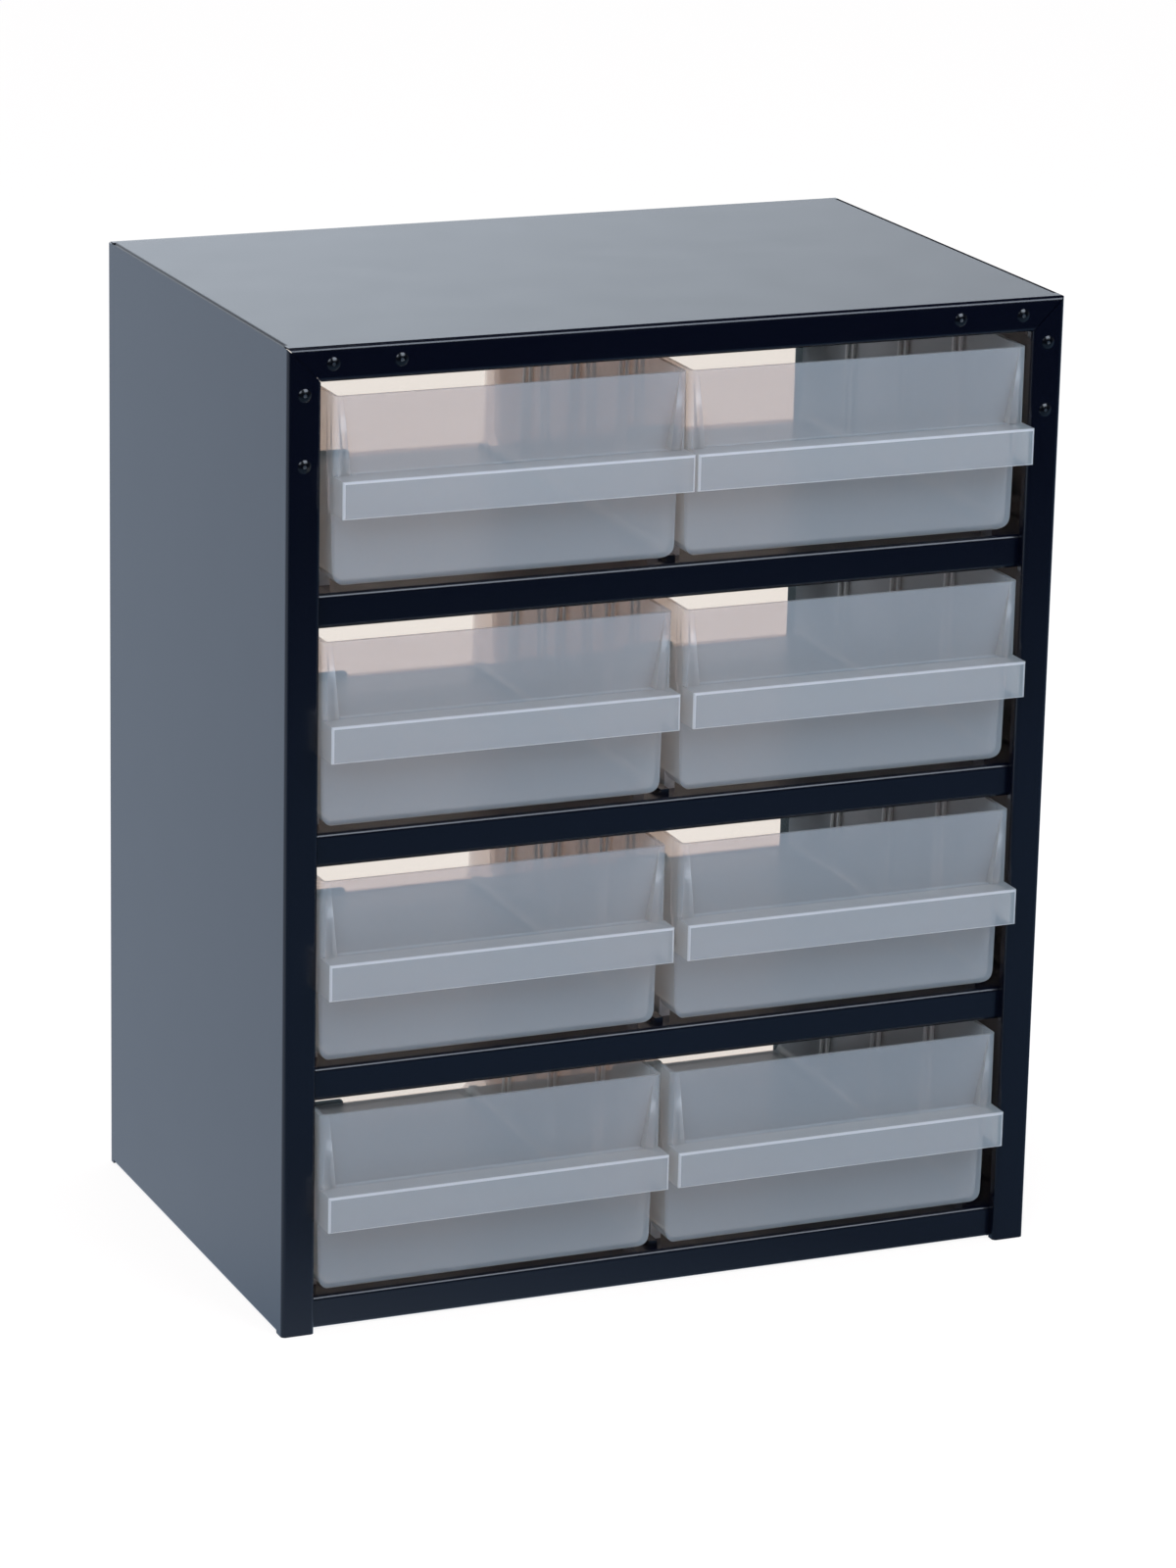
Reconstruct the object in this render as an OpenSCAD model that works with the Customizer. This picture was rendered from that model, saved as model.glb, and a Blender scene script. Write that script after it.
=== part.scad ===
// Small sheet-steel cabinet with two columns of four moulded plastic drawers.
// Millimetres. +Z is up and the drawers open towards -Y. The origin lies on the
// floor, under the middle of the whole cabinet with its handles.

/* [Sheet steel] */
// Thickness of the sheet steel
sheet_t = 0.8; // [0.6:0.1:1.2]
// Outside radius of every bend in the sheet
bend_r = 2; // [1.6:0.1:3]
// Width of the flanges round the front opening and under the side panels
flange_w = 15; // [12:0.5:20]
// Width of the flanges round the open back
rear_flange_w = 18; // [14:0.5:24]
// Depth of the return behind the inner edge of the front flanges
return_d = 5; // [3.5:0.1:6]
// Gap along the mitre at the corners of the flanges
mitre_gap = 0.4; // [0.2:0.1:0.8]
// Width of the flanges that hold the top panel and the shelves to the sides
side_flange_h = 12; // [8:0.5:14]
// Distance of the ends of the side flanges from the bend of a rear flange
bend_room = 3; // [1:0.5:6]

/* [Shelves] */
// Height of the front lip of each shelf
lip_h = 15; // [12:0.5:20]
// Depth of the return under the front lip of each shelf
lip_return_d = 6; // [4:0.5:8]
// Width of the flange along the back edge of each shelf
shelf_rear_h = 10; // [8:0.5:12]
// Clearance of the lowest lip above the floor
lip_floor_gap = 0.3; // [0.1:0.1:2]
// Clearance of the lowest lip round the foot flanges of the side panels
foot_gap = 0.4; // [0.2:0.1:1.5]
// Height of the guide bar between the two columns of drawers
guide_h = 2.5; // [2:0.1:3]
// Distance of the guide bar's ends from the front and back edges of the shelf
guide_inset = 6; // [4:0.5:20]
// Width of the stop tab behind each drawer
stop_w = 26; // [16:1:40]
// Height of the stop tab behind each drawer
stop_h = 7; // [5:0.5:10]
// Radius of the stop tab's upper corners
stop_r = 2; // [0.5:0.5:4]

/* [Corner gussets and rivets] */
// Thickness of the corner gussets
gusset_t = 1.2; // [0.8:0.1:2]
// Length of each leg of a gusset, from the corner of the cabinet
gusset_leg = 62; // [56:1:90]
// Distance of the first rivet from the corner of the cabinet
rivet_first = 20; // [16:0.5:22]
// Distance between the two rivets of a leg
rivet_pitch = 30; // [20:0.5:34]
// Diameter of a rivet's shank
rivet_d = 3.2; // [2.4:0.1:4]
// Clearance of a rivet in its hole, on the radius
rivet_clearance = 0.05; // [0.02:0.01:0.1]
// Diameter of a rivet's head
rivet_head_d = 5.8; // [5:0.1:7]
// Height of a rivet's head
rivet_head_h = 0.9; // [0.6:0.1:1.4]
// Diameter of the hole that the mandrel leaves in a rivet
rivet_bore_d = 1.8; // [1.2:0.1:2]
// Diameter of a rivet's set tail
rivet_tail_d = 4.6; // [4.2:0.1:5]
// Length of a rivet's set tail
rivet_tail_l = 2.2; // [1.5:0.1:3]

/* [Drawers] */
// Width of a drawer over its upper front
drawer_w = 158.4; // [140:0.2:180]
// Height of a drawer from the underside of its floor to its rim
drawer_h = 82.6; // [76:0.2:100]
// Depth of a drawer from its lower front wall to its back wall, outside
drawer_d = 217; // [180:1:260]
// Wall thickness of a drawer
wall = 1.8; // [1.4:0.1:2.2]
// How much each side wall leans in from the rim to the floor
side_draft = 1.8; // [1:0.1:3]
// How much the back wall leans in from the rim to the floor
rear_draft = 1.8; // [1:0.1:3]
// Radius of the upright corners of a drawer
corner_r = 3; // [2.4:0.1:5]
// Radius between the side walls and the floor, outside
floor_side_r = 7; // [5:0.5:10]
// Radius between the floor and the front and back walls, outside
floor_end_r = 3.5; // [3:0.1:6]
// Height of the runners under a drawer's floor
runner_h = 3.2; // [2.8:0.1:5]
// Width of a runner, from the foot of the side wall inwards
runner_w = 5; // [3:0.5:8]
// Distance of a runner's front end behind the shelf lip
runner_start = 14; // [8:1:40]
// Number of compartments that the divider slots mark off
compartments = 4; // [2:1:6]
// Width of a divider slot
slot_w = 5; // [2:0.5:7]
// Thickness of the ribs beside a divider slot
rib_t = 1.6; // [1.2:0.1:2.4]
// How far the ribs stand out from the side wall
rib_out = 1.4; // [1:0.1:2]
// Distance of the ribs' tops below the rim
rib_drop = 1; // [0.5:0.5:6]
// Width of the stop that stands up from the back wall
back_stop_w = 70; // [40:2:110]
// Height of the stop above the rim
back_stop_h = 9; // [8:0.5:12]
// Radius of the stop's upper corners
back_stop_r = 3; // [1:0.5:6]

/* [Drawer front] */
// How far the upper front stands out from the lower front wall
bezel_out = 6; // [4.5:0.5:8]
// Distance from the rim down to the ledge of the handle
ledge_drop = 33.8; // [28:0.2:40]
// How far the handle stands out from the lower front wall
handle_out = 16.5; // [14:0.5:22]
// Height of the handle's front
handle_h = 16; // [12:0.5:20]
// Radius of the handle's upper and upright outer edges
handle_r = 1; // [0.6:0.1:1.5]
// Radius of the handle's lower front edge
handle_low_r = 0.5; // [0.2:0.1:1]
// Distance of the label recess from the drawer's side, at the rim
label_inset_top = 3.6; // [2.8:0.1:8]
// Distance of the label recess from the drawer's side, at the ledge
label_inset_ledge = 7.2; // [4:0.2:14]
// Depth of the label recess at the ledge
label_lean = 5.5; // [3:0.1:6]

/* [Fits] */
// Play between a drawer and each side of its place
side_play = 2.55; // [2:0.05:4]
// How far the guide bar keeps the drawers' rims off the middle of the cabinet
guide_keep = 0.2; // [0.1:0.05:0.4]
// Clearance above a drawer's rim, under the lip in front of it
rim_gap = 3.6; // [3:0.1:6]
// Extra height over the top row, which has no shelf lip above it
top_extra = 1.9; // [0:0.1:3.4]
// Distance of the shelf lips behind the drawers' lower front walls
lip_setback = 2.5; // [1:0.1:4]
// Room behind the drawers, to the outside of the open back
rear_room = 13.8; // [8:0.1:30]
// Gap between a closed drawer and its stop tab
stop_gap = 0.3; // [0.2:0.1:1]
// How far above the floor the bottom shelf's top face lies
base_h = 15; // [15:0.5:24]

/* [Hidden] */
ROWS = 4;
COLUMNS = 2;
$fn = 48;
eps = 0.01; // overshoot of the cutting solids

steel = [0.07, 0.10, 0.16];
dark_steel = [0.05, 0.06, 0.09];
plastic = [0.66, 0.70, 0.75, 0.6];

// Where each drawer sits between the front flange and the guide bar, from the
// top row down: -1 is hard to the left, 1 hard to the right.
REST = [[0.81, -0.76], [-0.87, -0.49], [-0.87, -0.27], [-0.71, -0.92]];

// Places across the cabinet
place_w = drawer_w + 2 * side_play;            // width of one column
opening_w = COLUMNS * place_w;                 // between the front flanges
cabinet_w = opening_w + 2 * flange_w;
half_w = cabinet_w / 2;
inner_half_w = half_w - sheet_t;               // inner faces of the side panels
guide_w = 2 * (side_draft + guide_keep);       // the runners flank the guide bar

// Heights
rim_z = runner_h + drawer_h;                   // rim above its shelf
clear_h = rim_z + rim_gap;                     // from a shelf to the lip above
row_pitch = clear_h + lip_h;
cabinet_h = base_h + ROWS * clear_h + (ROWS - 1) * lip_h + top_extra + flange_w;
ledge_z = rim_z - ledge_drop;                  // top face of the handle
floor_z = runner_h;                            // underside of a drawer's floor

// Depths, from the front face of the flanges (y = 0) backwards
lip_y = return_d;                              // front face of the shelf lips
wall_y = lip_y - lip_setback;                  // lower front wall of a drawer
bezel_y = wall_y - bezel_out;                  // upper front of a drawer
bezel_back_y = wall_y + 2 * wall;              // how far back its block runs
handle_y = wall_y - handle_out;                // front of the handle
back_y = wall_y + drawer_d;                    // back wall of a drawer, outside
cabinet_d = back_y + rear_room;
lip_back_y = lip_y + lip_return_d;
// front face of the stop tabs, behind the leaning back wall of a closed drawer
stop_y = back_y - rear_draft * (rim_z - stop_h) / drawer_h + stop_gap;

// The modules below count y from the front flanges; this puts the origin under
// the middle of the cabinet with its handles and its rear rivets.
origin_y = (handle_y + cabinet_d + rivet_head_h) / 2;
module in_place() { translate([0, -origin_y, 0]) children(); }

// Height of the top face of the shelf under a row, counted from the top
function shelf_z(row) = base_h + (ROWS - row) * row_pitch;

// ---- Helpers ------------------------------------------------------------

// Extrudes a (y, z) outline along X, from x0 to x1.
module along_x(x0, x1) {
    translate([x0, 0, 0]) rotate([90, 0, 90]) linear_extrude(x1 - x0) children();
}

// Extrudes an (x, z) outline along Y, from y0 to y1.
module along_y(y0, y1) {
    translate([0, y1, 0]) rotate([90, 0, 0]) linear_extrude(y1 - y0) children();
}

// Extrudes an (x, y) outline along Z, from z0 to z1.
module along_z(z0, z1) {
    translate([0, 0, z0]) linear_extrude(z1 - z0) children();
}

// A box from one corner to the opposite one
module box(low, high) { translate(low) cube(high - low); }

function unit(v) = v / norm(v);

// A convex polygon whose corners are rounded, each with its own radius
module rounded(points, radii) {
    n = len(points);
    to_prev = [for (i = [0:n - 1]) unit(points[(i + n - 1) % n] - points[i])];
    to_next = [for (i = [0:n - 1]) unit(points[(i + 1) % n] - points[i])];
    half = [for (i = [0:n - 1]) acos(to_prev[i] * to_next[i]) / 2];
    cut = [for (i = [0:n - 1]) radii[i] / tan(half[i])];
    polygon([for (i = [0:n - 1]) each radii[i] == 0 ? [points[i]]
        : [points[i] + cut[i] * to_prev[i], points[i] + cut[i] * to_next[i]]]);
    for (i = [0:n - 1]) if (radii[i] > 0)
        translate(points[i] + radii[i] / sin(half[i]) * unit(to_prev[i] + to_next[i]))
            circle(radii[i]);
}

// The outline of a sheet that follows a path of square bends to the right. The
// path runs along the outer face and the sheet lies to its right.
module sheet(path) {
    n = len(path);
    dirs = [for (i = [0:n - 2]) unit(path[i + 1] - path[i])];
    for (i = [0:n - 2]) {
        right = [dirs[i].y, -dirs[i].x];
        a = path[i] + (i > 0 ? bend_r : 0) * dirs[i];
        b = path[i + 1] - (i < n - 2 ? bend_r : 0) * dirs[i];
        polygon([a, b, b + sheet_t * right, a + sheet_t * right]);
    }
    for (i = [1:n - 2]) {
        middle = path[i] - bend_r * dirs[i - 1] + bend_r * dirs[i];
        intersection() {
            translate(middle) difference() {
                circle(bend_r);
                circle(bend_r - sheet_t);
            }
            polygon([middle, middle - bend_r * dirs[i], path[i], middle + bend_r * dirs[i - 1]]);
        }
    }
}

// Everything on the top panel's side of the mitre through the corners of the
// flanges, or on the side panels' side of it, kept clear of it by half the gap
module mitre_keep(top) {
    s = top ? 1 : -1;
    shift = s * mitre_gap / sqrt(2);
    reach = 2 * cabinet_h;
    for (side = [-1, 1]) mirror([side < 0 ? 1 : 0, 0, 0])
        along_y(-reach, reach) polygon(top
            ? [[0, cabinet_h - half_w + shift], [half_w + reach, cabinet_h + reach + shift],
               [0, cabinet_h + reach + shift]]
            : [[0, cabinet_h - half_w + shift], [half_w + reach, cabinet_h + reach + shift],
               [half_w + reach, -reach], [0, -reach]]);
}

// ---- Rivets and gussets ---------------------------------------------------

// Centres of a corner's rivets in (x, z), for the right-hand corner
function rivet_centres(w) = [
    for (d = [rivet_first, rivet_first + rivet_pitch]) each
        [[half_w - d, cabinet_h - w / 2], [half_w - w / 2, cabinet_h - d]]
];

// Holes through the flanges and gussets of both upper corners, seen from the front
module rivet_holes(w, y0, y1) {
    for (side = [-1, 1], c = rivet_centres(w))
        translate([side * c.x, y1, c.y]) rotate([90, 0, 0])
            cylinder(r = rivet_d / 2 + rivet_clearance, h = y1 - y0);
}

// All holes of the front and rear flanges, clear through flange and gusset
module all_rivet_holes() {
    rivet_holes(flange_w, -eps, sheet_t + gusset_t + eps);
    rivet_holes(rear_flange_w, cabinet_d - sheet_t - gusset_t - eps, cabinet_d + eps);
}

// One blind rivet on the Z axis: the head sits on z = 0 and the shank goes down
module rivet() {
    grip = sheet_t + gusset_t;
    head_r = rivet_head_d / 2;
    dome_r = (head_r * head_r + rivet_head_h * rivet_head_h) / (2 * rivet_head_h);
    difference() {
        union() {
            intersection() {
                translate([0, 0, rivet_head_h - dome_r]) sphere(dome_r);
                cylinder(r = head_r, h = rivet_head_h);
            }
            translate([0, 0, -grip - rivet_tail_l]) cylinder(d = rivet_d, h = grip + rivet_tail_l + eps);
            translate([0, 0, -grip - rivet_tail_l]) cylinder(d = rivet_tail_d, h = rivet_tail_l);
        }
        translate([0, 0, -grip]) cylinder(d = rivet_bore_d, h = grip + rivet_head_h + eps);
    }
}

// Everything that makes the rear corners: the front ones, turned to face back
module facing(rear) {
    translate([0, rear ? cabinet_d : 0, 0]) mirror([0, rear ? 1 : 0, 0]) children();
}

module corner_rivets(side, rear) {
    color(dark_steel) in_place() facing(rear)
        for (c = rivet_centres(rear ? rear_flange_w : flange_w))
            translate([side * c.x, 0, c.y]) rotate([90, 0, 0]) rivet();
}

// An L-shaped plate behind the mitre of two flanges, clear of their bends
module corner_gusset(side, rear) {
    w = rear ? rear_flange_w : flange_w;
    inner = rear ? sheet_t : bend_r;           // only the front flanges have a return
    color(dark_steel) in_place() facing(rear) difference() {
        mirror([side < 0 ? 1 : 0, 0, 0]) along_y(sheet_t, sheet_t + gusset_t) difference() {
            translate([half_w - gusset_leg, cabinet_h - gusset_leg])
                square(gusset_leg - bend_r);
            translate([half_w - gusset_leg - eps, cabinet_h - gusset_leg - eps])
                square(gusset_leg - w + inner + eps);
        }
        rivet_holes(w, -eps, sheet_t + gusset_t + eps);
    }
}

// ---- Steel cabinet --------------------------------------------------------

// Where a flanged panel keeps its full section: beside the front and rear
// flanges, so that the flanges between them have room to bend
front_relief = return_d + bend_r;
rear_relief = bend_r + bend_room;

// Side panel: front flange with its return, web, rear flange and foot flange.
// It is drawn on the left and mirrored for the right.
module side_panel(side) {
    plan = [[flange_w - half_w, return_d], [flange_w - half_w, 0], [-half_w, 0],
            [-half_w, cabinet_d], [rear_flange_w - half_w, cabinet_d]];
    foot = [[flange_w - half_w, 0], [-half_w, 0], [-half_w, 2 * bend_r]];
    foot_y0 = front_relief;
    foot_y1 = cabinet_d - rear_relief;
    color(steel) in_place() mirror([side > 0 ? 1 : 0, 0, 0]) difference() {
        intersection() {
            union() {
                difference() {
                    along_z(0, cabinet_h) sheet(plan);
                    box([-half_w - eps, foot_y0, -eps], [0, foot_y1, bend_r]);
                }
                along_y(foot_y0, foot_y1) sheet(foot);
            }
            mitre_keep(false);
        }
        all_rivet_holes();
    }
}

// Top panel: web, mitred front flange with its return, mitred rear flange, and
// side flanges that lie against the side panels
module top_panel() {
    section = [[return_d, cabinet_h - flange_w], [0, cabinet_h - flange_w], [0, cabinet_h],
               [cabinet_d, cabinet_h], [cabinet_d, cabinet_h - rear_flange_w]];
    y0 = front_relief;
    y1 = cabinet_d - rear_relief;
    color(steel) in_place() difference() {
        intersection() {
            union() {
                difference() {
                    along_x(-inner_half_w, inner_half_w) sheet(section);
                    for (side = [-1, 1])
                        box([side > 0 ? inner_half_w - bend_r : -inner_half_w - eps, y0, 0],
                            [side > 0 ? inner_half_w + eps : bend_r - inner_half_w, y1, cabinet_h + eps]);
                }
                along_y(y0, y1) side_flanges(cabinet_h);
            }
            union() {
                mitre_keep(true);
                box([-half_w, y0, 0], [half_w, y1, cabinet_h + eps]);
            }
        }
        all_rivet_holes();
    }
}

// The edges of a panel with its top face at z, bent down against the side panels
module side_flanges(z) {
    for (side = [-1, 1]) mirror([side < 0 ? 1 : 0, 0]) intersection() {
        sheet([[0, z], [inner_half_w, z], [inner_half_w, z - side_flange_h]]);
        translate([inner_half_w - bend_r, z - side_flange_h]) square([bend_r, side_flange_h]);
    }
}

// A shelf: front lip with its return, web, rear flange, side flanges and the
// tabs that stop the drawers
module shelf(row) {
    z = shelf_z(row);
    lowest = row == ROWS;
    lip_z = lowest ? lip_floor_gap : z - lip_h;
    rear_z = z - shelf_rear_h;
    y1 = cabinet_d - sheet_t;
    section = [[lip_back_y, lip_z], [lip_y, lip_z], [lip_y, z], [y1, z], [y1, rear_z]];
    side_y0 = lip_back_y;
    side_y1 = y1 - rear_relief;
    color(steel) in_place() {
        difference() {
            along_x(-inner_half_w, inner_half_w) sheet(section);
            for (side = [-1, 1]) mirror([side < 0 ? 1 : 0, 0, 0]) {
                box([inner_half_w - bend_r, side_y0, lip_z - eps], [inner_half_w + eps, y1 + eps, z + eps]);
                // clear of the foot flange of the side panel
                if (lowest)
                    box([half_w - flange_w - foot_gap, 0, -eps],
                        [half_w, lip_back_y + eps, sheet_t + foot_gap]);
            }
        }
        along_y(side_y0, side_y1) side_flanges(z);
        for (column = [0, 1])
            translate([place_x(column), stop_y, z - sheet_t])
                along_y(0, sheet_t) rounded(
                    [[-stop_w / 2, 0], [stop_w / 2, 0], [stop_w / 2, stop_h + sheet_t],
                     [-stop_w / 2, stop_h + sheet_t]], [0, 0, stop_r, stop_r]);
    }
}

// The bar between the two columns of drawers, on top of a shelf
module guide(row) {
    color(dark_steel) in_place()
        box([-guide_w / 2, lip_y + guide_inset, shelf_z(row)],
            [guide_w / 2, cabinet_d - sheet_t - guide_inset, shelf_z(row) + guide_h]);
}

// ---- Drawers --------------------------------------------------------------

// Middle of a column, and of the drawer that sits in it
function place_x(column) = (column - (COLUMNS - 1) / 2) * place_w;
function drawer_x(row, column) =
    place_x(column) + REST[row - 1][column] * (side_play - guide_keep);

// Outline of the tub from the front, drawn in by d on every side but the rim
module tub_front(d, top) {
    x1 = drawer_w / 2 - d;
    x0 = x1 - side_draft;
    r = floor_side_r - d;
    rounded([[-x0, floor_z + d], [x0, floor_z + d], [x1, top], [-x1, top]], [r, r, 0, 0]);
}

// Outline of the tub from the side, drawn in by d; front is its front face
module tub_side(d, top, front) {
    r = floor_end_r - d;
    rounded([[front + d, floor_z + d], [back_y - rear_draft - d, floor_z + d],
             [back_y - d, top], [front + d, top]], [r, r, 0, 0]);
}

// Outline of the tub from above, drawn in by d
module tub_plan(d, front) {
    x = drawer_w / 2 - d;
    r = corner_r - d;
    rounded([[-x, front + d], [x, front + d], [x, back_y - d], [-x, back_y - d]], [r, r, r, r]);
}

// The block that the tub's three outlines have in common
module tub(d, top) {
    intersection() {
        along_y(wall_y, back_y) tub_front(d, top);
        along_x(-drawer_w / 2, drawer_w / 2) tub_side(d, top, wall_y);
        along_z(0, top) tub_plan(d, wall_y);
    }
}

// The upper front, which stands out from the tub and runs back into it
module bezel(d, top) {
    x = drawer_w / 2 - d;
    r = corner_r - d;
    along_z(ledge_z, top) rounded(
        [[-x, bezel_y + d], [x, bezel_y + d], [x, bezel_back_y], [-x, bezel_back_y]], [r, r, 0, 0]);
}

// The label recess, or the plate behind it: moved back by d and wider by d
module label_space(d) {
    x0 = drawer_w / 2 - label_inset_ledge + d;
    x1 = drawer_w / 2 - label_inset_top + d;
    intersection() {
        along_y(bezel_y - wall, bezel_back_y) polygon(
            [[-x0, ledge_z], [x0, ledge_z], [x1, rim_z + eps], [-x1, rim_z + eps]]);
        along_x(-drawer_w / 2, drawer_w / 2) polygon(
            [[bezel_y - eps, ledge_z], [bezel_y + label_lean + d, ledge_z],
             [bezel_y + d, rim_z + eps], [bezel_y - eps, rim_z + eps]]);
    }
}

// The handle: a block with rounded front edges, hollow and open underneath
module handle() {
    x = drawer_w / 2;
    z0 = ledge_z - handle_h;
    back = wall_y + wall;
    difference() {
        intersection() {
            along_x(-x, x) rounded(
                [[handle_y, z0], [back, z0], [back, ledge_z], [handle_y, ledge_z]],
                [handle_low_r, 0, 0, handle_r]);
            along_z(z0, ledge_z) rounded(
                [[-x, handle_y], [x, handle_y], [x, back], [-x, back]],
                [handle_r, handle_r, 0, 0]);
        }
        box([wall - x, handle_y + wall, z0 - eps], [x - wall, wall_y, ledge_z - wall]);
    }
}

// Ribs in pairs on both side walls, each pair a slot for a divider
module divider_ribs() {
    inside_d = drawer_d - 2 * wall;
    pitch = inside_d / compartments;
    for (side = [-1, 1], i = [1:compartments - 1], end = [-1, 1])
        translate([0, wall_y + wall + i * pitch + end * (slot_w + rib_t) / 2 - rib_t / 2, 0])
            mirror([side < 0 ? 1 : 0, 0, 0]) intersection() {
                along_y(0, rib_t) difference() {
                    tub_front(wall / 2, rim_z - rib_drop);
                    tub_front(wall + rib_out, rim_z);
                }
                box([0, 0, floor_z + floor_side_r], [drawer_w, rib_t, rim_z]);
            }
}

// Runners that carry the drawer, flush with the feet of its side walls
module runners() {
    x1 = drawer_w / 2 - side_draft;
    y1 = back_y - rear_draft - floor_end_r;
    for (side = [-1, 1]) mirror([side < 0 ? 1 : 0, 0, 0])
        along_y(lip_y + runner_start, y1) difference() {
            translate([x1 - runner_w, 0]) square([runner_w, floor_z + floor_side_r]);
            tub_front(wall / 2, rim_z);
        }
}

module drawer(row, column) {
    color(plastic) in_place()
        translate([drawer_x(row, column), 0, shelf_z(row)]) {
            difference() {
                union() {
                    difference() {
                        union() { tub(0, rim_z); bezel(0, rim_z); }
                        tub(wall, rim_z + eps);
                        bezel(wall, rim_z + eps);
                    }
                    intersection() { label_space(wall); bezel(wall / 2, rim_z); }
                    handle();
                }
                label_space(0);
            }
            divider_ribs();
            runners();
            along_y(back_y - wall, back_y) rounded(
                [[-back_stop_w / 2, rim_z - wall], [back_stop_w / 2, rim_z - wall],
                 [back_stop_w / 2, rim_z + back_stop_h], [-back_stop_w / 2, rim_z + back_stop_h]],
                [0, 0, back_stop_r, back_stop_r]);
        }
}

// ---- Nodes ----------------------------------------------------------------

top_panel();
side_panel(-1);  // left_side_panel
side_panel(1);  // right_side_panel
shelf(1);  // upper_shelf
shelf(2);  // middle_shelf
shelf(3);  // lower_shelf
shelf(4);  // bottom_shelf
guide(1);  // upper_guide
guide(2);  // middle_guide
guide(3);  // lower_guide
guide(4);  // bottom_guide
corner_gusset(-1, false);  // front_left_gusset
corner_gusset(1, false);  // front_right_gusset
corner_gusset(-1, true);  // rear_left_gusset
corner_gusset(1, true);  // rear_right_gusset
corner_rivets(-1, false);  // front_left_rivets
corner_rivets(1, false);  // front_right_rivets
corner_rivets(-1, true);  // rear_left_rivets
corner_rivets(1, true);  // rear_right_rivets
drawer(1, 0);  // drawer_1_left
drawer(1, 1);  // drawer_1_right
drawer(2, 0);  // drawer_2_left
drawer(2, 1);  // drawer_2_right
drawer(3, 0);  // drawer_3_left
drawer(3, 1);  // drawer_3_right
drawer(4, 0);  // drawer_4_left
drawer(4, 1);  // drawer_4_right
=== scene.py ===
import math

import bmesh
import bpy
from mathutils import Matrix, Vector


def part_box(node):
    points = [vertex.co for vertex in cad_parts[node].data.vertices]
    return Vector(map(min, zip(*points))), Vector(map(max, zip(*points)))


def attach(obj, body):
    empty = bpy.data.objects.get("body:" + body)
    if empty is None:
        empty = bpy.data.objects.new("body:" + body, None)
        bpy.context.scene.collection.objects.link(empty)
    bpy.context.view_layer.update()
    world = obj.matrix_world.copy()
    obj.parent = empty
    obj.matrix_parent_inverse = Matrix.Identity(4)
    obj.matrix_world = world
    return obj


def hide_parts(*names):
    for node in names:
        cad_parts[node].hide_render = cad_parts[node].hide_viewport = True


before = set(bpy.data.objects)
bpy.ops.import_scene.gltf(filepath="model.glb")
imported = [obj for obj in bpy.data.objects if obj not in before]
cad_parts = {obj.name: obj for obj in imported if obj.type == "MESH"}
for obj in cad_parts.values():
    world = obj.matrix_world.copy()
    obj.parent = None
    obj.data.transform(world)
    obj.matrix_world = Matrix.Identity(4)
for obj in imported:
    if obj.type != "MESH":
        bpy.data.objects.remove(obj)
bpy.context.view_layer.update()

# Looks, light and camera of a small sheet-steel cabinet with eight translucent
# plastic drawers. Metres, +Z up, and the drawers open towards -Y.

MM = 0.001

# ---- Camera -----------------------------------------------------------------

PICTURE_HEIGHT = 1600       # pixels
FOCAL_PIXELS = 5891.5       # focal length in pixels of that picture
SENSOR_HEIGHT = 24          # millimetres
CAMERA_PLACE = Vector((-0.97385, -2.28156, 0.94531))
CAMERA_YAW = 23.2502        # degrees, to the right of +Y
CAMERA_PITCH = 16.7120      # degrees, downwards
CAMERA_ROLL = 1.2631        # degrees
CAMERA_REACH = 50           # how far it sees

# ---- Finishes ---------------------------------------------------------------

NAVY = (0.0004, 0.0010, 0.0056)
RIVET_BLACK = (0.0006, 0.0010, 0.0026)
MANDREL_STEEL = (0.30, 0.31, 0.33)
STEEL_ROUGHNESS = 0.25
RIVET_ROUGHNESS = 0.22
ROUGHNESS_CHANGE = 0.015            # how far a powder coat's roughness strays from its own
PEEL_DEPTH = 0.004 * MM             # of the powder coat's orange peel
TORN_DEPTH = 0.1 * MM               # of the grain on torn steel
MILKY = (0.64, 0.84, 0.99)          # what the plastic scatters back
MILKY_EDGE_GLOW = (0.97, 0.93, 0.97)     # what its edges scatter back: lighter than the faces, a painted glow for the light that gathers in edges
MILKY_THROUGH = (0.74, 0.92, 0.98)  # what it scatters on through
THIN_TINT = (1.0, 0.955, 0.91)      # what a thin wall lets through, at each face
THICK_TINT = (0.96, 0.85, 0.785)    # and what the other walls let through
THIN_HAZE = 0.12                    # share of the light that a thin wall's face scatters
DENSE_HAZE = 0.62                   # and that dense plastic's face scatters; at the edges this also carries their painted glow
FORWARD = 0.52                      # share of the haze that goes on through
PLASTIC_IOR = 1.49
SKIN_DEPTH = 0.015 * MM             # of the fine waves on the plastic

# ---- Small shapes -------------------------------------------------------------

SAME_PLACE = 0.001 * MM     # corners closer than this are one corner
SAME_FACE = math.radians(0.5)       # faces that meet at less than this are one face
EDGE_RADIUS = 0.45 * MM     # on the moulded drawers
EDGE_ANGLE = math.radians(25)       # edges sharper than this are rounded there
MOULDING_SHARP = math.radians(35)   # edges sharper than this stay sharp on a drawer
MANDREL_SHARP = math.radians(40)    # and on a mandrel
WALL_END = 2.2 * MM         # a flat face narrower than this is the end of a wall
WALL_END_ANGLE = math.radians(50)   # if it meets its neighbours at more than this
ROUNDING_FACET = 0.2 * MM   # a face narrower than this is part of a small rounding
HANDLE_ROUNDING = 1.2 * MM  # how far back the handle's roundings reach
DENSE_AND_GLOW = "dense_and_glow"             # face attribute, from 0 in thin walls to 1 at edges, where it also paints a glow
FRONT_DENSITY = 0.34        # its value in the front
SIDE_DENSITY = 0.42         # and in side walls and floors
FRONT_DEPTH = 20 * MM       # how far back the front reaches
BACK_DEPTH = 5 * MM         # and how far forward the thin back wall does
FACES_BACK = 0.9            # a face whose normal has this much of Y belongs to that wall
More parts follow.
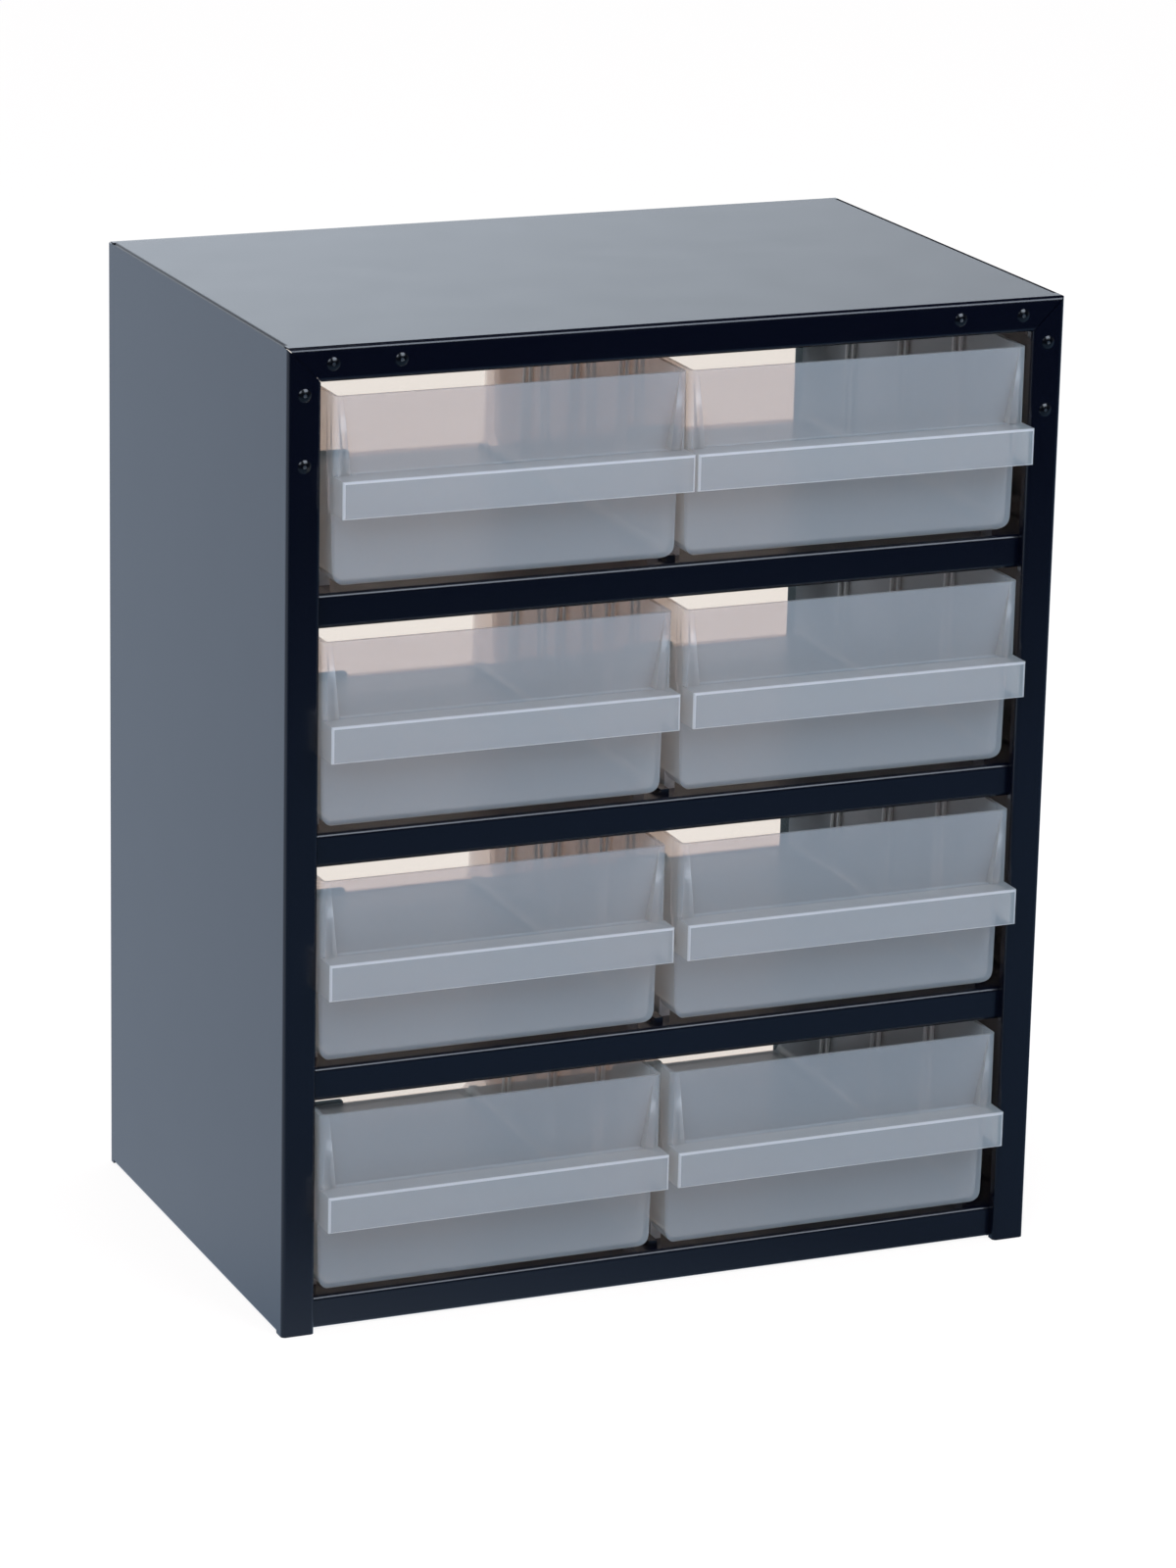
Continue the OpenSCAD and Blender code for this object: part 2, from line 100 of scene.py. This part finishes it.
RIM_HEIGHT = 80 * MM        # above a drawer's foot, only the rim and the stop lie higher
MANDREL_RADIUS = 0.85 * MM
MANDREL_SINK = 0.35 * MM    # how far a mandrel lies below its rivet's head
MANDREL_DEPTH = 2.85 * MM   # how deep it goes, down to the bore's end
MANDREL_SIDES = 20
MANDREL_TURN = 2.1          # radians from one torn tip to the next
# From its foot to its tip: the share of the mandrel's radius, the depth below the
# rivet's head, and how far the torn edge strays from that depth
MANDREL_RINGS = (
    (1.0, MANDREL_DEPTH, 0),
    (1.0, MANDREL_SINK, 0.05 * MM),
    (0.82, MANDREL_SINK - 0.1 * MM, 0.08 * MM),
    (0.45, MANDREL_SINK - 0.02 * MM, 0.1 * MM),
)


def camera():
    """The camera at the photograph's viewing angle."""
    yaw, pitch, roll = (math.radians(a) for a in (CAMERA_YAW, CAMERA_PITCH, CAMERA_ROLL))
    forward = Vector((math.sin(yaw) * math.cos(pitch), math.cos(yaw) * math.cos(pitch),
                      -math.sin(pitch)))
    level_right = Vector((math.cos(yaw), -math.sin(yaw), 0))
    level_up = level_right.cross(forward)
    right = math.cos(roll) * level_right + math.sin(roll) * level_up
    up = math.cos(roll) * level_up - math.sin(roll) * level_right
    data = bpy.data.cameras.new("camera")
    data.sensor_fit = "VERTICAL"
    data.sensor_height = SENSOR_HEIGHT
    data.lens = FOCAL_PIXELS * SENSOR_HEIGHT / PICTURE_HEIGHT
    data.clip_end = CAMERA_REACH
    eye = bpy.data.objects.new("camera", data)
    turn = Matrix((right, up, -forward)).transposed().to_4x4()
    eye.matrix_world = Matrix.Translation(CAMERA_PLACE) @ turn
    bpy.context.scene.collection.objects.link(eye)
    bpy.context.scene.camera = eye


# ---- Materials ----------------------------------------------------------------


class Nodes:
    """The node tree of a new material or of the world, with short calls to fill it."""

    def __init__(self, owner):
        owner.use_nodes = True
        self.tree = owner.node_tree
        self.tree.nodes.clear()

    def add(self, kind, **values):
        """A node of this kind. Values name its properties or, by socket name, its inputs."""
        node = self.tree.nodes.new(kind)
        for name, value in values.items():
            if hasattr(node, name):
                setattr(node, name, value)
            else:
                socket = node.inputs[name.replace("_", " ")]
                if isinstance(value, bpy.types.NodeSocket):
                    self.tree.links.new(value, socket)
                elif isinstance(value, tuple) and len(value) == 3 and socket.type == "RGBA":
                    socket.default_value = (*value, 1)
                else:
                    socket.default_value = value
        return node

    def mix_shader(self, share, first, second):
        """A Mix Shader that shows second by this share, a number or a socket."""
        node = self.tree.nodes.new("ShaderNodeMixShader")
        if isinstance(share, bpy.types.NodeSocket):
            self.tree.links.new(share, node.inputs[0])
        else:
            node.inputs[0].default_value = share
        self.tree.links.new(first, node.inputs[1])
        self.tree.links.new(second, node.inputs[2])
        return node.outputs[0]

    def noise(self, scale, detail):
        """Noise over the object's own coordinates, from 0 to 1."""
        place = self.add("ShaderNodeTexCoord").outputs["Object"]
        return self.add("ShaderNodeTexNoise", Vector=place, Scale=scale, Detail=detail).outputs[0]

    def join(self, operation, first, second):
        """Two sockets joined by an operation of the Math node."""
        node = self.add("ShaderNodeMath", operation=operation)
        self.tree.links.new(first, node.inputs[0])
        self.tree.links.new(second, node.inputs[1])
        return node.outputs[0]

    def between(self, value, low, high):
        """Value, from 0 to 1, mapped to the span from low to high."""
        node = self.add("ShaderNodeMapRange", Value=value)
        node.inputs["To Min"].default_value = low
        node.inputs["To Max"].default_value = high
        return node.outputs[0]

    def smooth(self, value, start, end):
        """0 to 1 as a value passes softly from start to end."""
        node = self.add("ShaderNodeMapRange", interpolation_type="SMOOTHSTEP", Value=value)
        node.inputs["From Min"].default_value = start
        node.inputs["From Max"].default_value = end
        return node.outputs[0]

    def blend(self, share, first, second):
        """A colour between two colours or sockets, by a socket from 0 to 1."""
        node = self.add("ShaderNodeMix", data_type="RGBA")
        self.tree.links.new(share, node.inputs[0])
        for socket, colour in ((node.inputs[6], first), (node.inputs[7], second)):
            if isinstance(colour, bpy.types.NodeSocket):
                self.tree.links.new(colour, socket)
            else:
                socket.default_value = (*colour, 1)
        return node.outputs[2]

    def bump(self, height, depth):
        """A normal from a height of 0 to 1, which stands for this depth in metres."""
        return self.add("ShaderNodeBump", Height=height, Distance=depth, Strength=1.0).outputs[0]

    def surface(self, kind, shader):
        """Ends the tree with this shader."""
        output = self.tree.nodes.new(kind)
        self.tree.links.new(shader, output.inputs["Surface"])


def scaled(colour, factor):
    """A colour made lighter or darker."""
    return tuple(c * factor for c in colour)


def powder_coat(name, colour, roughness):
    """Satin powder coat: an orange-peel skin with slight changes of gloss and colour."""
    material = bpy.data.materials.new(name)
    n = Nodes(material)
    cloud = n.noise(14, 3)
    peel = n.bump(n.noise(300, 1), PEEL_DEPTH)
    least = roughness - ROUGHNESS_CHANGE
    most = roughness + ROUGHNESS_CHANGE
    coat = n.add("ShaderNodeBsdfPrincipled",
                 Base_Color=n.blend(cloud, scaled(colour, 0.9), scaled(colour, 1.12)),
                 Roughness=n.between(n.noise(35, 2), least, most), Normal=peel)
    coat.inputs["IOR"].default_value = 1.5
    coat.inputs["Coat Weight"].default_value = 0.15
    coat.inputs["Coat Roughness"].default_value = 0.14
    n.surface("ShaderNodeOutputMaterial", coat.outputs[0])
    return material


def bare_steel(name, colour):
    """The snapped end of a rivet's mandrel."""
    material = bpy.data.materials.new(name)
    n = Nodes(material)
    metal = n.add("ShaderNodeBsdfPrincipled",
                  Base_Color=n.blend(n.noise(2500, 2), scaled(colour, 0.6), colour),
                  Roughness=n.between(n.noise(1800, 2), 0.25, 0.45),
                  Normal=n.bump(n.noise(1500, 2), TORN_DEPTH))
    metal.inputs["Metallic"].default_value = 1
    n.surface("ShaderNodeOutputMaterial", metal.outputs[0])
    return material


def milky_plastic(name):
    """Translucent polypropylene: each face lets part of the light straight through, a little
    warmer, and scatters the rest. Thick walls and edges scatter more; edges also get a painted
    glow."""
    material = bpy.data.materials.new(name)
    n = Nodes(material)
    cloud = n.noise(18, 3)
    skin = n.bump(n.noise(320, 2), SKIN_DEPTH)
    dense_and_glow = n.add("ShaderNodeAttribute", attribute_name=DENSE_AND_GLOW).outputs["Fac"]
    milk = n.blend(cloud, scaled(MILKY, 0.95), scaled(MILKY, 1.01))
    thick = n.smooth(dense_and_glow, 0.0, FRONT_DENSITY)
    clear = n.add("ShaderNodeBsdfTransparent",
                  Color=n.blend(thick, THIN_TINT, THICK_TINT)).outputs[0]
    # The scattered colour turns lighter towards the edges: a painted glow.
    back = n.add("ShaderNodeBsdfPrincipled", Base_Color=n.blend(dense_and_glow, milk, MILKY_EDGE_GLOW),
                 Roughness=n.between(n.noise(60, 2), 0.44, 0.52), Normal=skin)
    back.inputs["IOR"].default_value = PLASTIC_IOR
    through = n.add("ShaderNodeBsdfTranslucent", Color=MILKY_THROUGH).outputs[0]
    haze = n.mix_shader(FORWARD, back.outputs[0], through)
    wall = n.mix_shader(n.between(dense_and_glow, THIN_HAZE, DENSE_HAZE), clear, haze)
    gloss = n.add("ShaderNodeBsdfAnisotropic", Roughness=0.32, Normal=skin).outputs[0]
    shine = n.add("ShaderNodeFresnel", IOR=PLASTIC_IOR).outputs[0]
    inside = n.add("ShaderNodeNewGeometry").outputs["Backfacing"]
    n.surface("ShaderNodeOutputMaterial",
              n.mix_shader(inside, n.mix_shader(shine, wall, gloss), wall))
    return material


# ---- Stage and light ------------------------------------------------------------

LIGHT = (0.77, 0.868, 1.0)  # cool daylight, in lamps and all around
FLOOR_HALF = 4.0            # half of the floor's side
FLOOR_DROP = 0.2 * MM       # how far the floor lies below the object
FLOOR_GREY = (0.8, 0.8, 0.8)        # what the floor sheds on the object
FLOOR_SHADOW = 0.22         # share of the floor's look that takes shadows,
NEUTRAL = (1.0, 0.85, 0.75)         # in a colour that looks grey in the cool light
FLOOR_WHITE = 1.09          # the rest, so that floor and background are equally white
COOL_FLOOR = (0.63, 0.75, 0.93)     # the lit floor, in mirrors
LIT_WAY = (-0.6, 1.0, 0)    # there the floor gets brighter this way
LIT_FROM = -0.4             # where it starts to, in metres along that way
LIT_TO = 0.2                # and where it is fully lit
FAINT_BLUE = (0.48, 0.78, 1.2)      # the floor in front, in mirrors
FAINT = 0.28                # how bright it is there
FAINT_FROM = -1.5           # from here, where it is dark, in metres along Y,
FAINT_TO = -0.7             # to here
SKY = (0.82, 0.90, 1.0)     # the room behind, in mirrors
GLOW_LOW = 0.27             # there it is bright up to this height,
GLOW_HIGH = 0.42            # as a sine, and dark above this one
GLOW = 1.75                 # how bright it is towards the left
GLOW_LEAST = 0.8            # and towards the right,
GLOW_LEFT = 0.2             # from this direction's X
GLOW_RIGHT = 0.6            # to this one's
BEHIND_FROM = -0.5          # the room is dim where a direction has this much of Y
BEHIND_TO = 0.5             # and bright where it has this much
DIM = 0.6                   # how bright the dim part lights the object, of 1
# Soft boxes: name, place, point aimed at, width and height, radiance where 1 is white
LAMPS = (
    ("front_right", (0.85, -1.75, 1.9), (0, 0, 0.25), (1.5, 1.2), 5.9),
    ("front_left", (-1.6, -1.9, 1.9), (0, 0, 0.2), (1.5, 1.5), 4.4),
    ("overhead", (-0.2, 0.1, 1.8), (0, 0, 0.4), (0.8, 0.8), 3),
)


def mirrored_floor(n):
    """What mirrors show of the floor: cool where it is lit, faintly blue in front."""
    place = n.add("ShaderNodeNewGeometry").outputs["Position"]
    way = n.add("ShaderNodeVectorMath", operation="DOT_PRODUCT")
    n.tree.links.new(place, way.inputs[0])
    way.inputs[1].default_value = LIT_WAY
    y = n.add("ShaderNodeSeparateXYZ", Vector=place).outputs["Y"]
    faint = n.between(n.smooth(y, FAINT_FROM, FAINT_TO), 0.0, FAINT)
    lit = n.smooth(way.outputs["Value"], LIT_FROM, LIT_TO)
    return n.add("ShaderNodeEmission", Color=n.blend(lit, FAINT_BLUE, COOL_FLOOR),
                 Strength=n.join("MAXIMUM", faint, lit)).outputs[0]


def floor_material():
    """White to the camera and through clear plastic, with a faint shadow."""
    material = bpy.data.materials.new("floor")
    n = Nodes(material)
    matt = n.add("ShaderNodeBsdfDiffuse", Color=FLOOR_GREY).outputs[0]
    neutral = n.add("ShaderNodeBsdfDiffuse", Color=NEUTRAL).outputs[0]
    white = n.add("ShaderNodeEmission", Strength=FLOOR_WHITE).outputs[0]
    seen = n.mix_shader(1 - FLOOR_SHADOW, neutral, white)
    rays = n.add("ShaderNodeLightPath").outputs
    shown = n.mix_shader(rays["Is Glossy Ray"], seen, mirrored_floor(n))
    direct = n.join("MAXIMUM", rays["Is Camera Ray"], rays["Is Glossy Ray"])
    direct = n.join("MAXIMUM", direct, rays["Is Transmission Ray"])
    n.surface("ShaderNodeOutputMaterial", n.mix_shader(direct, matt, shown))
    return material


def floor():
    """A plain white floor."""
    mesh = bpy.data.meshes.new("floor")
    h = FLOOR_HALF
    mesh.from_pydata([(-h, -h, 0), (h, -h, 0), (h, h, 0), (-h, h, 0)], [], [(0, 1, 2, 3)])
    mesh.materials.append(floor_material())
    plane = bpy.data.objects.new("floor", mesh)
    plane.location.z = -FLOOR_DROP
    bpy.context.scene.collection.objects.link(plane)


def lamp(name, place, aim, size, radiance):
    """A soft box at a place, aimed at a point, with a radiance where 1 is white."""
    data = bpy.data.lights.new(name, "AREA")
    data.shape = "RECTANGLE"
    data.size, data.size_y = size
    data.energy = radiance * size[0] * size[1] * math.pi
    data.color = LIGHT
    box = bpy.data.objects.new(name, data)
    box.location = place
    box.rotation_euler = (Vector(aim) - Vector(place)).to_track_quat("-Z", "Y").to_euler()
    bpy.context.scene.collection.objects.link(box)


def studio():
    """A white room behind the object, dimmer in front, under soft boxes."""
    world = bpy.data.worlds.new("studio")
    bpy.context.scene.world = world
    n = Nodes(world)
    way = n.add("ShaderNodeTexCoord").outputs["Generated"]
    along = n.add("ShaderNodeSeparateXYZ", Vector=way).outputs
    behind = n.smooth(along["Y"], BEHIND_FROM, BEHIND_TO)
    low = n.smooth(along["Z"], GLOW_HIGH, GLOW_LOW)
    left = n.smooth(along["X"], GLOW_RIGHT, GLOW_LEFT)
    glow = n.between(behind, DIM, 1.0)
    bright = n.join("MULTIPLY", n.between(left, GLOW_LEAST, GLOW), low)
    gleam = n.join("MULTIPLY", behind, bright)
    lit = n.add("ShaderNodeBackground", Color=LIGHT, Strength=glow).outputs[0]
    mirrored = n.add("ShaderNodeBackground", Color=SKY, Strength=gleam).outputs[0]
    white = n.add("ShaderNodeBackground", Color=(1, 1, 1), Strength=1.0).outputs[0]
    rays = n.add("ShaderNodeLightPath").outputs
    around = n.mix_shader(rays["Is Glossy Ray"], lit, mirrored)
    straight = n.join("MAXIMUM", rays["Is Camera Ray"], rays["Is Transmission Ray"])
    n.surface("ShaderNodeOutputWorld", n.mix_shader(straight, around, white))
    for values in LAMPS:
        lamp(*values)


# ---- Pieces -----------------------------------------------------------------------


def paint(node, material):
    """Gives a CAD node one material."""
    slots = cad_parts[node].material_slots
    if not slots:
        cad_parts[node].data.materials.append(material)
    for place in slots:
        place.material = material


def smooth_by_angle(mesh, angle):
    """Smooth shading with sharp edges above this angle."""
    mesh.shade_smooth()
    mesh.set_sharp_from_angle(angle=angle)


def mean_width(face):
    """The width of a long narrow face."""
    return 2 * face.calc_area() / face.calc_perimeter()


def gets_painted_glow(face, front):
    """True where a face gets a painted glow for the light that comes out of the plastic: the
    narrow flat end of a wall or rib, such as the rim, and the roundings of the handle, whose
    front lies at front."""
    width = mean_width(face)
    sides = [e for e in face.edges if e.calc_length() > width]
    if width < ROUNDING_FACET:
        return face.calc_center_median().y < front + HANDLE_ROUNDING
    return width < WALL_END and all(
        e.is_manifold and e.calc_face_angle() > WALL_END_ANGLE for e in sides)


def density_and_glow(face, low, high):
    """How dense the plastic looks at a face of a drawer whose box has these corners, and 1 where
    it gets the painted edge glow.
    """
    place = face.calc_center_median()
    if place.z > low.z + RIM_HEIGHT:
        return SIDE_DENSITY
    if gets_painted_glow(face, low.y):
        return 1.0
    if place.y < low.y + FRONT_DEPTH:
        return FRONT_DENSITY
    if place.y > high.y - BACK_DEPTH and abs(face.normal.y) > FACES_BACK:
        return 0.0
    return SIDE_DENSITY


def moulding(node):
    """The mesh of a drawer as it leaves the mould: the CAD form with its edges rounded."""
    form = bmesh.new()
    form.from_mesh(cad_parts[node].data)
    bmesh.ops.remove_doubles(form, verts=form.verts, dist=SAME_PLACE)
    bmesh.ops.dissolve_limit(form, angle_limit=SAME_FACE, verts=form.verts, edges=form.edges)
    dense_and_glow = form.faces.layers.float.new(DENSE_AND_GLOW)
    low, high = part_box(node)
    for face in form.faces:
        face[dense_and_glow] = density_and_glow(face, low, high)
    corners = [e for e in form.edges if e.is_manifold and e.is_convex
               and e.calc_face_angle() > EDGE_ANGLE]
    rounded = bmesh.ops.bevel(form, geom=corners, offset=EDGE_RADIUS, offset_type="OFFSET",
                              segments=2, profile=0.5, affect="EDGES", clamp_overlap=True)
    # Roundings below the rim get the painted edge glow; those above get the side walls' density.
    for face in rounded["faces"]:
        below_rim = face.calc_center_median().z < low.z + RIM_HEIGHT
        face[dense_and_glow] = 1.0 if below_rim else SIDE_DENSITY
    mesh = bpy.data.meshes.new(node + "_moulding")
    form.to_mesh(mesh)
    form.free()
    smooth_by_angle(mesh, MOULDING_SHARP)
    return with_flat_faces_flat(mesh)


def with_flat_faces_flat(mesh):
    """The mesh with normals that follow its large faces, so only its roundings curve."""
    form = bpy.data.objects.new("form", mesh)
    bpy.context.scene.collection.objects.link(form)
    weights = form.modifiers.new("weights", "WEIGHTED_NORMAL")
    weights.weight = 100        # the largest faces alone count
    weights.keep_sharp = True
    seen = form.evaluated_get(bpy.context.evaluated_depsgraph_get())
    flat = bpy.data.meshes.new_from_object(seen)
    bpy.data.objects.remove(form)
    return flat


def drawers(material):
    """A moulding for each drawer, in its CAD drawer's place."""
    names = [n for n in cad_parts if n.startswith("drawer_")]
    first = names[0]
    mesh = moulding(first)
    mesh.materials.clear()
    mesh.materials.append(material)
    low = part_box(first)[0]
    for name in names:
        piece = bpy.data.objects.new(name + "_moulding", mesh)
        piece.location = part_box(name)[0] - low
        bpy.context.scene.collection.objects.link(piece)
        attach(piece, name)
        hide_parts(name)


def islands(mesh):
    """The lowest and highest corner of each separate solid in a mesh."""
    form = bmesh.new()
    form.from_mesh(mesh)
    bmesh.ops.remove_doubles(form, verts=form.verts, dist=SAME_PLACE)
    left = set(form.verts)
    boxes = []
    while left:
        found = {left.pop()}
        ends = list(found)
        while ends:
            vert = ends.pop()
            near = {e.other_vert(vert) for e in vert.link_edges} - found
            found |= near
            ends.extend(near)
        left -= found
        places = [v.co for v in found]
        boxes.append([Vector(pick(p[i] for p in places) for i in range(3))
                      for pick in (min, max)])
    form.free()
    return sorted(boxes, key=lambda box: tuple(box[0]))


def add_mandrel(form, head, inward, turn):
    """Adds a mandrel below the middle of a rivet's head, its tip torn at this turn."""
    rings = []
    for share, depth, tear in MANDREL_RINGS:
        ring = []
        for step in range(MANDREL_SIDES):
            angle = math.tau * step / MANDREL_SIDES
            ragged = tear * (math.sin(2 * angle + turn) + math.cos(5 * angle) / 3)
            place = Vector((math.cos(angle), 0, math.sin(angle))) * share * MANDREL_RADIUS
            ring.append(form.verts.new(head + place + Vector((0, inward * (depth + ragged), 0))))
        rings.append(ring)
    for outer, inner in zip(rings, rings[1:]):
        for step in range(MANDREL_SIDES):
            after = (step + 1) % MANDREL_SIDES
            form.faces.new((outer[step], outer[after], inner[after], inner[step]))
    form.faces.new(rings[0])
    form.faces.new(rings[-1])


def mandrels(node, material):
    """The snapped mandrels in a node's rivets, as one piece."""
    low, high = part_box(node)
    inward = 1 if low.y < 0 else -1
    form = bmesh.new()
    for count, (near, far) in enumerate(islands(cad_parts[node].data)):
        middle = (near + far) / 2
        head = Vector((middle.x, low.y if inward > 0 else high.y, middle.z))
        add_mandrel(form, head, inward, MANDREL_TURN * count)
    bmesh.ops.recalc_face_normals(form, faces=form.faces)
    name = node.replace("rivets", "mandrels")
    mesh = bpy.data.meshes.new(name)
    form.to_mesh(mesh)
    form.free()
    smooth_by_angle(mesh, MANDREL_SHARP)
    mesh.materials.append(material)
    piece = bpy.data.objects.new(name, mesh)
    bpy.context.scene.collection.objects.link(piece)
    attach(piece, "cabinet")


def steel():
    """The powder coat on every steel node, and the bare ends in the rivets."""
    coat = powder_coat("navy_powder_coat", NAVY, STEEL_ROUGHNESS)
    black = powder_coat("black_rivet_paint", RIVET_BLACK, RIVET_ROUGHNESS)
    bare = bare_steel("bare_mandrel_steel", MANDREL_STEEL)
    for name in list(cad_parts):
        if name.endswith("rivets"):
            paint(name, black)
            mandrels(name, bare)
        elif not name.startswith("drawer_"):
            paint(name, coat)


camera()
floor()
studio()
steel()
drawers(milky_plastic("milky_plastic"))

scene = bpy.context.scene
scene.view_settings.view_transform = "Standard"
scene.cycles.transparent_max_bounces = 48
